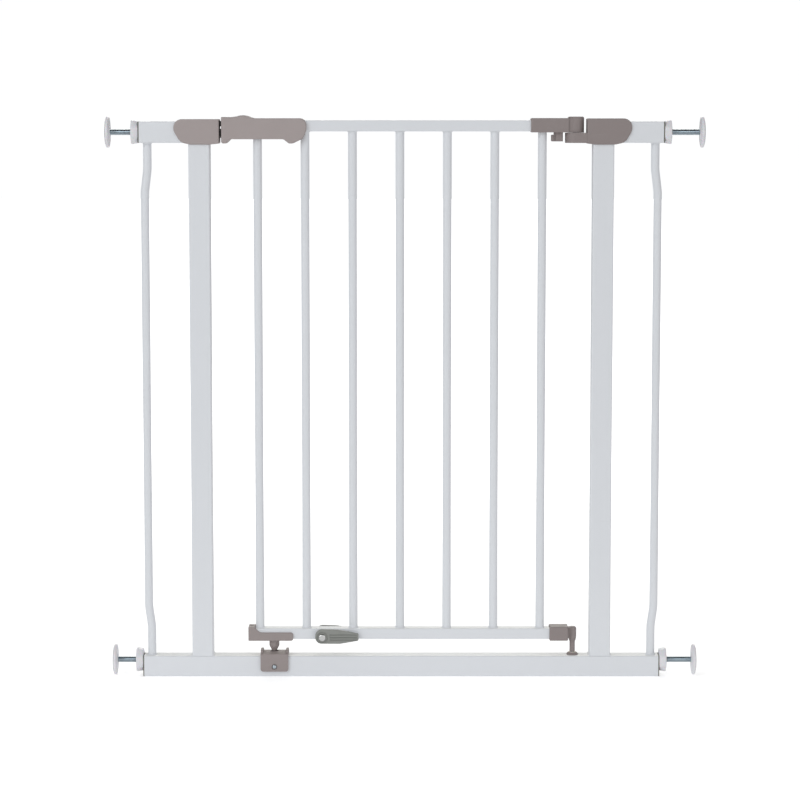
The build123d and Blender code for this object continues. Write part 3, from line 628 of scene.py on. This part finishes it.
def add_rod(
    bm: bmesh.types.BMesh, start: Vector, end: Vector, radius: float, sides: int,
) -> list[bmesh.types.BMVert]:
    """Add a round rod between two points.

    Args:
        bm: The mesh in work.
        start: One end of the rod's axis.
        end: The other end.
        radius: The rod's radius.
        sides: Facets round it.

    Returns:
        The rod's vertices.
    """
    along = end - start
    turn = Z_AXIS.rotation_difference(along).to_matrix().to_4x4()
    place = Matrix.Translation((start + end) / 2) @ turn
    return bmesh.ops.create_cone(
        bm, cap_ends=True, segments=sides, radius1=radius, radius2=radius, depth=along.length,
        matrix=place,
    )["verts"]


@dataclass
class Workshop:
    """Turns meshes in work into finished pieces of the gate."""

    paintbox: Paintbox
    smooth_angle: float = 34.0

    def finish(
        self, bm: bmesh.types.BMesh, name: str, body: str, slot: str, finish: Finish,
        nodes: Iterable[str] = (),
    ) -> bpy.types.Object:
        """Make a piece of a mesh in work, paint it and let it ride on its body.

        Args:
            bm: The mesh in work, which is used up.
            name: The piece's name.
            body: The body it rides on.
            slot: The record's material slot; not used.
            finish: The finish it gets.
            nodes: CAD nodes that it stands for.

        Returns:
            The piece.
        """
        limit = math.radians(self.smooth_angle)
        for edge in bm.edges:
            edge.smooth = edge.calc_face_angle(0.0) < limit
        for face in bm.faces:
            face.smooth = True
        mesh = bpy.data.meshes.new(name)
        bm.to_mesh(mesh)
        bm.free()
        piece = bpy.data.objects.new(name, mesh)
        bpy.context.scene.collection.objects.link(piece)
        self.paintbox.paint(piece, finish)
        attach(piece, body)
        if nodes:
            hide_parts(*nodes)
        LOG.info("%s: %d faces, rides on %s", name, len(mesh.polygons), body)
        return piece


# ------------------------------------------------------------------ wall fixings
@dataclass
class ThreadedFoot:
    """A wall fixing: threaded spindle, hand nut, cup and pad."""

    fixing: WallFixing
    pitch: float = 1.25 * MM
    crest: float = 3.98 * MM
    root: float = 3.32 * MM
    thread_steps: int = 20
    nut_sides: int = 8
    nut_corner: float = 2.56 * MM
    nut_rim: float = 1.6 * MM
    nut_segments: int = 4
    outer_dish: float = 1.2 * MM
    inner_dish: float = 0.3 * MM
    flare_length: float = 6.5 * MM
    flare_depth: float = 0.08
    cup_steps: int = 72
    cup_round: float = 0.25 * MM
    pad_recess: float = 17.1 * MM
    pad_recess_depth: float = 1.2 * MM
    pad_radius: float = 17.0 * MM
    pad_steps: int = 64
    ring_count: int = 4
    ring_radius: float = 15.2 * MM
    ring_spacing: float = 3.6 * MM
    ring_groove: float = 0.5 * MM

    @property
    def body(self) -> str:
        """The sliding body's name."""
        return self.fixing.place + "_wall_foot"

    @property
    def outward(self) -> Vector:
        """Direction from the gate to the wall."""
        return X_AXIS * self.fixing.side

    def build(self, shop: Workshop) -> None:
        """Build the spindle, the nut, the cup and the pad.

        Args:
            shop: Where the pieces are finished.
        """
        self.build_spindle(shop)
        self.build_nut(shop)
        self.build_cup(shop)
        self.build_pad(shop)

    def inner_face(self, low: Vector, high: Vector, centre: Vector) -> Vector:
        """Find the middle of a piece's face on the gate's side.

        Args:
            low: Low corner of the piece's box.
            high: High corner of it.
            centre: Middle of it.

        Returns:
            The point.
        """
        inner_x = low.x if self.fixing.side > 0 else high.x
        return Vector((inner_x, centre.y, centre.z))

    def build_spindle(self, shop: Workshop) -> None:
        """Cut the M8 thread over the spindle's whole length.

        Args:
            shop: Where the piece is finished.
        """
        node = self.fixing.place + "_spindle"
        low, high, centre = box_of(node)
        start = Vector((low.x - self.pitch, centre.y, centre.z))
        turns = math.ceil((high.x - low.x) / self.pitch) + 2
        half = self.pitch / 2
        flat = self.pitch / 8
        profile = [
            (0.0, self.root), (half - flat, self.crest), (half + flat, self.crest), (self.pitch, self.root),
        ]
        bm = helix(profile, False, start, X_AXIS, self.pitch, turns, self.thread_steps)
        bmesh.ops.remove_doubles(bm, verts=bm.verts, dist=SNAP)
        cut_flat(bm, Vector((low.x, centre.y, centre.z)), -X_AXIS)
        cut_flat(bm, Vector((high.x, centre.y, centre.z)), X_AXIS)
        close_up(bm)
        shop.finish(bm, node + "_thread", self.body, "zinc_steel", ZINC, [node])

    def build_nut(self, shop: Workshop) -> None:
        """Shape the eight-sided nut: rounded corners, narrower at the tube, a dished face round a hub.

        Args:
            shop: Where the piece is finished.
        """
        node = self.fixing.place + "_nut"
        low, high, centre = box_of(node)
        length = high.x - low.x
        radius = (high.z - low.z) / 2
        bm = bmesh.new()
        turn = Matrix.Rotation(math.pi / 2, 4, "Y") @ Matrix.Rotation(math.pi / self.nut_sides, 4, "Z")
        bmesh.ops.create_cone(
            bm, cap_ends=True, segments=self.nut_sides, radius1=radius, radius2=radius, depth=length,
            matrix=Matrix.Translation(centre) @ turn,
        )
        corners = [edge for edge in bm.edges if self.reach(edge) > length / 2]
        self.round_off(bm, corners, self.nut_corner)
        rims = [
            edge for edge in bm.edges
            if self.reach(edge) < SNAP and len(edge.link_faces) == 2 and edge.calc_face_angle(0.0) > 1.0
        ]
        self.round_off(bm, rims, self.nut_rim)
        self.flare(bm, centre, length)
        for sign in (-1, 1):
            cap = max(bm.faces, key=lambda face: face.calc_center_median().x * sign)
            dish = self.outer_dish if sign == self.fixing.side else self.inner_dish
            self.dish_face(bm, cap, sign, dish, radius)
        close_up(bm)
        body = self.fixing.place + "_hand_nut"
        shop.finish(bm, node + "_body", body, "white_plastic", WHITE_MOULDING, [node])

    def reach(self, edge: bmesh.types.BMEdge) -> float:
        """Measure an edge's length along X.

        Args:
            edge: The edge.

        Returns:
            Its length along X.
        """
        return abs((edge.verts[0].co - edge.verts[1].co).x)

    def round_off(self, bm: bmesh.types.BMesh, edges: list[bmesh.types.BMEdge], offset: float) -> None:
        """Round some of the nut's edges.

        Args:
            bm: The mesh in work.
            edges: The edges to round.
            offset: Width of the rounding.
        """
        bmesh.ops.bevel(
            bm, geom=edges, offset=offset, affect="EDGES", segments=self.nut_segments, profile=0.5,
            material=-1,
        )

    def flare(self, bm: bmesh.types.BMesh, centre: Vector, length: float) -> None:
        """Narrow the nut towards the tube, over the inner part of its length.

        Args:
            bm: The mesh in work.
            centre: The nut's middle.
            length: The nut's length.
        """
        inner_x = centre.x - self.fixing.side * length / 2
        for vert in bm.verts:
            near = 1.0 - min(abs(vert.co.x - inner_x) / self.flare_length, 1.0)
            scale = 1.0 - self.flare_depth * near
            vert.co.y = centre.y + (vert.co.y - centre.y) * scale
            vert.co.z = centre.z + (vert.co.z - centre.z) * scale

    def dish_face(
        self, bm: bmesh.types.BMesh, cap: bmesh.types.BMFace, sign: int, dish: float, radius: float,
    ) -> None:
        """Sink a dish in a nut's face and leave a hub standing round the thread.

        Args:
            bm: The mesh in work.
            cap: The face.
            sign: Which way along X the face looks.
            dish: Measure of the dish's depth.
            radius: The nut's radius.
        """
        land = (radius * 0.10, 0.0)
        wall = (0.9 * MM, -dish * 0.55)
        floor = (radius * 0.28, 0.0)
        hub = (0.8 * MM, dish * 0.5)
        for inset, rise in (land, wall, floor, hub):
            bmesh.ops.inset_region(bm, faces=[cap], thickness=inset, depth=0.0, use_even_offset=True)
            bmesh.ops.translate(bm, verts=cap.verts[:], vec=X_AXIS * (sign * rise))

    def build_cup(self, shop: Workshop) -> None:
        """Turn the wall cup: hub, coned back, rounded rim and the recess for the pad.

        Args:
            shop: Where the piece is finished.
        """
        node = self.fixing.place + "_cup"
        low, high, centre = box_of(node)
        radius = (high.z - low.z) / 2
        depth = high.x - low.x
        floor = depth - self.pad_recess_depth
        hub = [(0.0, 0.0), (0.0, 7.6 * MM), (0.35 * MM, 8.4 * MM), (0.8 * MM, 9.2 * MM)]
        back = [(1.0 * MM, radius - 1.8 * MM), (1.3 * MM, radius - 0.7 * MM), (2.1 * MM, radius)]
        rim = [
            (depth - 1.2 * MM, radius), (depth - 0.3 * MM, radius - 0.4 * MM), (depth, radius - 1.2 * MM),
        ]
        recess = [(depth, self.pad_recess), (floor, self.pad_recess), (floor, 0.0)]
        face = self.inner_face(low, high, centre)
        bm = lathe(hub + back + rim + recess, face, self.outward, self.cup_steps)
        soften(bm, self.cup_round, 2, 35.0)
        shop.finish(bm, node + "_body", self.body, "white_plastic", WHITE_MOULDING, [node])

    def build_pad(self, shop: Workshop) -> None:
        """Turn the rubber pad with its gripping rings.

        Args:
            shop: Where the piece is finished.
        """
        node = self.fixing.place + "_pad"
        low, high, centre = box_of(node)
        top = high.x - low.x
        floor = top - self.ring_groove
        profile = [(0.0, 0.0), (0.0, self.pad_radius), (top, self.pad_radius)]
        for ring in range(self.ring_count):
            edge = self.ring_radius - self.ring_spacing * ring
            profile += [
                (top, edge), (floor, edge - 0.3 * MM), (floor, edge - 1.2 * MM), (top, edge - 1.5 * MM),
            ]
        profile.append((top, 0.0))
        bm = lathe(profile, self.inner_face(low, high, centre), self.outward, self.pad_steps)
        shop.finish(bm, node + "_rings", self.body, "pad_rubber", PAD_RUBBER, [node])


# ------------------------------------------------------------------ welds
@dataclass
class Welds:
    """Small beads where tubes and bars are welded."""

    bar_count: int = 7
    side_bar_x: float = 334.5 * MM
    side_bar_radius: float = 5.5 * MM
    leg: float = 1.2 * MM
    lift: float = 0.02 * MM
    ring_steps: int = 40
    foot_leg: float = 1.3 * MM
    foot_end: float = 1.6 * MM
    foot_drop: float = 0.2 * MM
    foot_sides: int = 20
    foot_cuts: int = 14
    wobble: float = 0.18 * MM
    wobble_scale: float = 420.0

    def build(self, shop: Workshop) -> None:
        """Run the beads on the gate and on the frame.

        Args:
            shop: Where the pieces are finished.
        """
        gate = bmesh.new()
        for index in range(1, self.bar_count + 1):
            low, high, middle = box_of(f"bar_{index}")
            radius = (high.x - low.x) / 2
            self.add_ring(gate, Vector((middle.x, middle.y, low.z)), Z_AXIS, radius)
            self.add_ring(gate, Vector((middle.x, middle.y, high.z)), -Z_AXIS, radius)
        self.ripple(gate)
        shop.finish(gate, "bar_welds", Body.GATE.value, "white_paint", POWDER_WHITE)
        fixed = bmesh.new()
        for side in ("left", "right"):
            self.add_side_bar_rings(fixed, side)
            self.add_foot_beads(fixed, side)
        self.ripple(fixed)
        shop.finish(fixed, "frame_welds", Body.FRAME.value, "white_paint", POWDER_WHITE)

    def add_ring(self, bm: bmesh.types.BMesh, base: Vector, rise: Vector, radius: float) -> None:
        """Add one bead round a bar.

        Args:
            bm: The mesh in work.
            base: Middle of the bar's end.
            rise: Direction along the bar, away from the face it is welded to.
            radius: The bar's radius.
        """
        inside = radius - 0.3 * MM
        height = self.leg * 1.5
        profile = [
            (self.lift, inside), (self.lift, radius + self.leg),
            (self.leg * 0.45, radius + self.leg * 0.72), (self.leg * 0.85, radius + self.leg * 0.22),
            (height, radius - self.lift), (height, inside), (self.lift, inside),
        ]
        ring = lathe(profile, base, rise, self.ring_steps)
        mesh = bpy.data.meshes.new("ring")
        ring.to_mesh(mesh)
        ring.free()
        bm.from_mesh(mesh)
        bpy.data.meshes.remove(mesh)

    def add_side_bar_rings(self, bm: bmesh.types.BMesh, side: str) -> None:
        """Add the beads at both ends of a side bar.

        Args:
            bm: The mesh in work.
            side: Left or right.
        """
        sign = -1 if side == "left" else 1
        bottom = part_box("bottom_tube")[1][2]
        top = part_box(side + "_top_tube")[0][2]
        x = sign * self.side_bar_x
        self.add_ring(bm, Vector((x, 0.0, bottom)), Z_AXIS, self.side_bar_radius)
        self.add_ring(bm, Vector((x, 0.0, top)), -Z_AXIS, self.side_bar_radius)

    def add_foot_beads(self, bm: bmesh.types.BMesh, side: str) -> None:
        """Add the two beads across an upright's foot.

        Args:
            bm: The mesh in work.
            side: Left or right.
        """
        low, high, _ = box_of(side + "_upright")
        for x in (low.x, high.x):
            start = Vector((x, low.y + self.foot_end, low.z - self.foot_drop))
            end = Vector((x, high.y - self.foot_end, low.z - self.foot_drop))
            verts = add_rod(bm, start, end, self.foot_leg, self.foot_sides)
            edges = list({edge for vert in verts for edge in vert.link_edges})
            long_edges = [edge for edge in edges if edge.calc_length() > 10 * MM]
            bmesh.ops.subdivide_edges(bm, edges=long_edges, cuts=self.foot_cuts, use_grid_fill=True)

    def ripple(self, bm: bmesh.types.BMesh) -> None:
        """Make the beads uneven, as a hand-run weld is.

        Args:
            bm: The mesh in work.
        """
        for vert in bm.verts:
            vert.co += noise.noise_vector(vert.co * self.wobble_scale) * self.wobble
        bmesh.ops.recalc_face_normals(bm, faces=bm.faces)


# ------------------------------------------------------------------ latch
@dataclass
class Latch:
    """Parts of the latch that need more shape than their solids have."""

    wire: float = 0.45 * MM
    wire_sides: int = 10
    coils: int = 7
    coil_steps: int = 24
    travel: float = 9.0 * MM

    def build(self, shop: Workshop) -> None:
        """Wind the return spring.

        Args:
            shop: Where the piece is finished.
        """
        low, high, centre = box_of("return_spring")
        length = high.x - low.x
        mean = (high.z - low.z) / 2 - self.wire
        pitch = (length - 2 * self.wire) / self.coils
        turns = [step * math.tau / self.wire_sides for step in range(self.wire_sides)]
        section = [(self.wire * math.cos(turn), mean + self.wire * math.sin(turn)) for turn in turns]
        start = Vector((low.x + self.wire, centre.y, centre.z))
        bm = helix(section, True, start, X_AXIS, pitch, self.coils, self.coil_steps)
        bmesh.ops.remove_doubles(bm, verts=bm.verts, dist=SNAP / 10)
        bmesh.ops.holes_fill(bm, edges=[edge for edge in bm.edges if edge.is_boundary], sides=0)
        bmesh.ops.recalc_face_normals(bm, faces=bm.faces)
        gate = Body.GATE.value
        coil = shop.finish(bm, "return_spring_coil", gate, "spring_steel", SPRING_WIRE, ["return_spring"])
        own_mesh(coil)


# ------------------------------------------------------------------ CAD nodes
@dataclass
class CadSurfaces:
    """Finishes for the CAD nodes that keep their own shape."""

    def dress(self, paintbox: Paintbox) -> None:
        """Paint every CAD node by its material slot, and the foot pieces with a finish of their own.

        Args:
            paintbox: The materials.
        """
        for part in frame["record"]["subparts"]:
            thing = frame["nodes"][part["node"]]
            finish = NODE_FINISHES.get(part["node"], SLOT_FINISHES[part["material_slot"]])
            paintbox.paint(thing, finish)
            LOG.info("%s: %s", part["node"], finish.name)


# ------------------------------------------------------------------ studio
@dataclass(frozen=True)
class SoftLight:
    """One square light."""

    name: str
    place: tuple[float, float, float]
    size: float
    watts: float
    colour: Rgb


SOFT_LIGHTS = (
    SoftLight("key_light", (-2.6, -3.2, 2.3), 2.6, 46.0, (0.96, 0.985, 1.0)),
    SoftLight("fill_light", (2.8, -3.0, 1.2), 2.6, 9.0, (1.0, 0.97, 0.91)),
    SoftLight("back_light", (0.2, 3.6, 2.2), 2.0, 42.0, (1.0, 0.985, 0.93)),
)


@dataclass
class Studio:
    """Pale floor, soft lights and the camera.

    A Span says how one value follows another: from, to, the value there at first and the value at last.
    """

    camera_place: Vector = field(default_factory=lambda: Vector((-1.7 * MM, -3.5, 0.750)))
    aim: Vector = field(default_factory=lambda: Vector((-1.7 * MM, 0.0, 0.3715)))
    lens: float = 119.1
    floor_size: float = 40.0
    sensor: float = 36.0
    view_depth: float = 100.0
    floor_tone: float = 0.90
    floor_glow: Span = (0.5, 1.6, 0.45, 1.0)
    floor_bounce: Span = (0.35, 1.0, 0.2, 0.0)
    world_light: float = 0.545
    world_colour: Rgb = (0.985, 0.99, 1.0)
    backdrop: float = 1.02
    wall_foot: Span = (-0.05, 0.12, 0.0, 1.0)
    wall_top: Span = (0.45, 0.75, 1.0, 0.0)
    wall_front: Span = (-0.5, 0.1, 1.0, 0.0)
    wall_glow: float = 1.1
    dim_glow: float = 0.12

    def build(self) -> None:
        """Set up floor, world, lights and camera."""
        self.build_floor()
        self.build_world()
        for light in SOFT_LIGHTS:
            self.hang(light)
        self.build_camera()
        bpy.context.scene.view_settings.view_transform = "Standard"

    def build_floor(self) -> None:
        """Lay the floor, which fades to plain white away from the gate and throws a little light back."""
        bm = bmesh.new()
        bmesh.ops.create_grid(bm, x_segments=1, y_segments=1, size=self.floor_size / 2)
        mesh = bpy.data.meshes.new("floor")
        bm.to_mesh(mesh)
        bm.free()
        floor = bpy.data.objects.new("floor", mesh)
        bpy.context.scene.collection.objects.link(floor)
        material = bpy.data.materials.new("pale_floor")
        material.use_nodes = True
        weave = Weave(material.node_tree)
        shader = material.node_tree.nodes["Principled BSDF"]
        shader.inputs["Base Color"].default_value = (self.floor_tone, self.floor_tone, self.floor_tone, 1.0)
        shader.inputs["Roughness"].default_value = 0.9
        shader.inputs["Specular IOR Level"].default_value = 0.1
        shader.inputs["Emission Color"].default_value = (1.0, 1.0, 1.0, 1.0)
        seen = weave.node("ShaderNodeLightPath").outputs["Is Camera Ray"]
        place = weave.node("ShaderNodeTexCoord").outputs["Object"]
        length = weave.node("ShaderNodeVectorMath", {"operation": "LENGTH"}, {0: place})
        distance = length.outputs["Value"]
        glow = weave.span(distance, *self.floor_glow)
        bounce = weave.span(distance, *self.floor_bounce)
        strength = weave.math("MAXIMUM", weave.math("MULTIPLY", seen, glow), bounce)
        material.node_tree.links.new(strength, shader.inputs["Emission Strength"])
        mesh.materials.append(material)

    def build_world(self) -> None:
        """Light everything softly, and show plain white behind the gate."""
        world = bpy.data.worlds.new("studio")
        bpy.context.scene.world = world
        world.use_nodes = True
        weave = Weave(world.node_tree)
        world.node_tree.nodes.clear()
        path = weave.node("ShaderNodeLightPath")
        mirrored = path.outputs["Is Glossy Ray"]
        glossy = weave.math("MULTIPLY", mirrored, self.reflected_glow(weave))
        plain = weave.span(mirrored, 0.0, 1.0, self.world_light, 0.0)
        seen = weave.math("MULTIPLY", path.outputs["Is Camera Ray"], self.backdrop)
        strength = weave.math("MAXIMUM", weave.math("ADD", plain, glossy), seen)
        shade = weave.node("ShaderNodeBackground", None, {
            "Color": (*self.world_colour, 1.0), "Strength": strength,
        })
        out = weave.node("ShaderNodeOutputWorld")
        world.node_tree.links.new(shade.outputs[0], out.inputs["Surface"])

    def reflected_glow(self, weave: Weave) -> bpy.types.NodeSocket:
        """Brightness of the studio as metal mirrors it: a wide bright wall in front, dim above and behind.

        Args:
            weave: The world's weave.

        Returns:
            The brightness's socket.
        """
        direction = weave.node("ShaderNodeTexCoord").outputs["Generated"]
        parts = weave.node("ShaderNodeSeparateXYZ", None, {0: direction}).outputs
        rising = weave.span(parts["Z"], *self.wall_foot)
        falling = weave.span(parts["Z"], *self.wall_top)
        front = weave.span(parts["Y"], *self.wall_front)
        glow = weave.math("MULTIPLY", weave.math("MULTIPLY", rising, falling), front)
        return weave.math("ADD", weave.math("MULTIPLY", glow, self.wall_glow), self.dim_glow)

    def hang(self, soft: SoftLight) -> None:
        """Hang one soft light, aimed at the middle of the gate.

        Args:
            soft: The light.
        """
        data = bpy.data.lights.new(soft.name, "AREA")
        data.size = soft.size
        data.energy = soft.watts
        data.color = soft.colour
        light = bpy.data.objects.new(soft.name, data)
        light.location = soft.place
        light.rotation_euler = (self.aim - light.location).to_track_quat("-Z", "Y").to_euler()
        bpy.context.scene.collection.objects.link(light)

    def build_camera(self) -> None:
        """Stand the camera in front of the gate, a little above it and looking down."""
        data = bpy.data.cameras.new("camera")
        data.lens = self.lens
        data.sensor_width = self.sensor
        data.clip_end = self.view_depth
        camera = bpy.data.objects.new("camera", data)
        camera.location = self.camera_place
        camera.rotation_euler = (self.aim - self.camera_place).to_track_quat("-Z", "Y").to_euler()
        bpy.context.scene.collection.objects.link(camera)
        bpy.context.scene.camera = camera


def main() -> None:
    """Build the studio, dress the CAD nodes and make every piece."""
    logging.basicConfig(level=logging.INFO, format="%(name)s %(message)s")
    Studio().build()
    paintbox = Paintbox()
    shop = Workshop(paintbox)
    CadSurfaces().dress(paintbox)
    for fixing in WallFixing:
        ThreadedFoot(fixing).build(shop)
    Welds().build(shop)
    Latch().build(shop)


if __name__ == "__main__":
    main()
